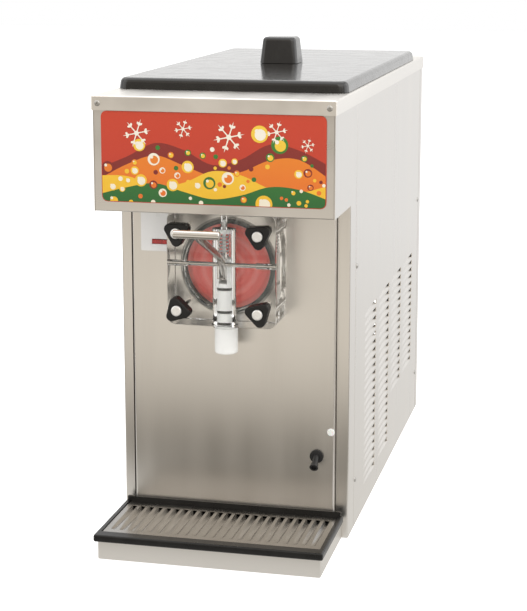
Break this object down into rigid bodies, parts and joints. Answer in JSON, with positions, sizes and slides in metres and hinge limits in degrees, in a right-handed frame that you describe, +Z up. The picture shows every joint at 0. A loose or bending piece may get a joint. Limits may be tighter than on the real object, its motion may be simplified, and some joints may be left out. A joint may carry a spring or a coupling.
{
  "type": "frozen drink dispenser",
  "caption": "Countertop slush machine: louvred steel cabinet, round barrel behind a clear clamped head, sprung T-handle valve, lift-off lid and drip tray.",
  "frame": {"origin": "middle of the cabinet's footprint on the surface it stands on", "axes": "+Y from the dispensing side to the back, +X to the right seen from the front, +Z up"},
  "size_m": [0.3216, 0.89, 0.6674],
  "materials": {
    "stainless_sheet": "fine brushed",
    "plated_steel": "polished",
    "graphic_print": "printed gloss sheet",
    "white_plastic": "satin",
    "white_acetal": "satin",
    "black_plastic": "moulded satin",
    "grey_plastic": "satin",
    "red_lens": "clear gloss",
    "red_slush": "wet ice",
    "clear_block": "polished clear plastic",
    "black_rubber": "matte",
    "gasket_rubber": "matte",
    "foam": "cut foam",
    "spring_wire": "drawn wire",
    "cap_aluminium": "turned satin",
    "fin_aluminium": "plain fins",
    "grey_paint": "satin enamel",
    "black_enamel": "gloss enamel"
  },
  "bodies": {
    "cabinet": {"bottom_pan": "stainless_sheet", "cheek_left": "stainless_sheet", "cheek_right": "stainless_sheet", "side_panel_left": "stainless_sheet", "side_panel_right": "stainless_sheet", "front_panel": "stainless_sheet", "rear_panel": "stainless_sheet", "top_panel": "stainless_sheet", "header_front": "stainless_sheet", "graphic_panel": "graphic_print", "machine_deck": "stainless_sheet", "control_plate": "white_plastic", "indicator_lens": "red_lens", "switch_body": "plated_steel", "drain_elbow": "black_plastic", "hole_plug": "white_plastic", "base_pan": "stainless_sheet", "hopper": "stainless_sheet", "feed_tube": "white_plastic", "freezing_barrel": "stainless_sheet", "barrel_jacket": "foam", "frozen_drink": "red_slush", "shaft_seal": "black_rubber", "gear_motor": "grey_paint", "faceplate": "clear_block", "head_gasket": "gasket_rubber", "spring_seat": "white_acetal", "pivot_pin": "plated_steel", "pivot_sleeve": "plated_steel", "condenser": "fin_aluminium", "fan_shroud": "stainless_sheet", "fan_motor": "grey_paint", "compressor": "black_enamel", "control_box": "grey_paint", "mains_gland": "black_plastic", "stud_upper_left": "plated_steel", "stud_upper_right": "plated_steel", "stud_lower_left": "plated_steel", "stud_lower_right": "plated_steel"},
    "lid": {"hopper_lid": "black_plastic", "lid_handle": "black_plastic"},
    "tray": {"drip_tray": "black_plastic"},
    "grille": {"drip_grille": "stainless_sheet"},
    "handle": {"dispensing_handle": "plated_steel"},
    "valve": {"plunger": "white_acetal", "o_ring_lower": "black_rubber", "o_ring_middle": "black_rubber", "o_ring_upper": "black_rubber", "valve_spring": "spring_wire"},
    "beater_body": {"beater": "white_acetal"},
    "fan": {"fan_blade": "grey_plastic"},
    "switch": {"switch_lever": "plated_steel"},
    "clamp_upper_left": {"knob_upper_left": "black_plastic", "knob_cap_upper_left": "cap_aluminium"},
    "clamp_upper_right": {"knob_upper_right": "black_plastic", "knob_cap_upper_right": "cap_aluminium"},
    "clamp_lower_left": {"knob_lower_left": "black_plastic", "knob_cap_lower_left": "cap_aluminium"},
    "clamp_lower_right": {"knob_lower_right": "black_plastic", "knob_cap_lower_right": "cap_aluminium"}
  },
  "joints": [
    {"name": "lid_lift", "type": "slide", "parent": "cabinet", "child": "lid", "axis": [0, 0, 1], "range_m": [0, 0.12]},
    {"name": "tray_lift", "type": "slide", "parent": "cabinet", "child": "tray", "axis": [0, 0, 1], "range_m": [0, 0.03]},
    {"name": "grille_lift", "type": "slide", "parent": "tray", "child": "grille", "axis": [0, 0, 1], "range_m": [0, 0.025]},
    {"name": "handle_pivot", "type": "hinge", "parent": "cabinet", "child": "handle", "pos_m": [0, -0.40825, 0.39], "axis": [1, 0, 0], "range_deg": [0, 35], "stiffness_Nm_per_rad": 0.4, "springref_deg": -28.65},
    {"name": "plunger_slide", "type": "slide", "parent": "cabinet", "child": "valve", "axis": [0, 0, 1], "range_m": [0, 0.012], "deforming": ["valve_spring"]},
    {"name": "beater_spin", "type": "hinge", "parent": "cabinet", "child": "beater_body", "pos_m": [0, -0.19125, 0.381], "axis": [0, 1, 0], "continuous": true},
    {"name": "fan_spin", "type": "hinge", "parent": "cabinet", "child": "fan", "pos_m": [0, -0.23525, 0.147], "axis": [0, 1, 0], "continuous": true},
    {"name": "switch_rock", "type": "hinge", "parent": "cabinet", "child": "switch", "pos_m": [-0.104, -0.35275, 0.452], "axis": [1, 0, 0], "range_deg": [-17, 17]},
    {"name": "knob_turn_upper_left", "type": "hinge", "parent": "cabinet", "child": "clamp_upper_left", "pos_m": [-0.0545, -0.43125, 0.434], "axis": [0, -1, 0], "continuous": true},
    {"name": "knob_turn_upper_right", "type": "hinge", "parent": "cabinet", "child": "clamp_upper_right", "pos_m": [0.0545, -0.43125, 0.434], "axis": [0, -1, 0], "continuous": true},
    {"name": "knob_turn_lower_left", "type": "hinge", "parent": "cabinet", "child": "clamp_lower_left", "pos_m": [-0.0545, -0.43125, 0.331], "axis": [0, -1, 0], "continuous": true},
    {"name": "knob_turn_lower_right", "type": "hinge", "parent": "cabinet", "child": "clamp_lower_right", "pos_m": [0.0545, -0.43125, 0.331], "axis": [0, -1, 0], "continuous": true}
  ],
  "couplings": [
    {"joint": "plunger_slide", "follows": "handle_pivot", "m_per_rad": 0.019}
  ]
}
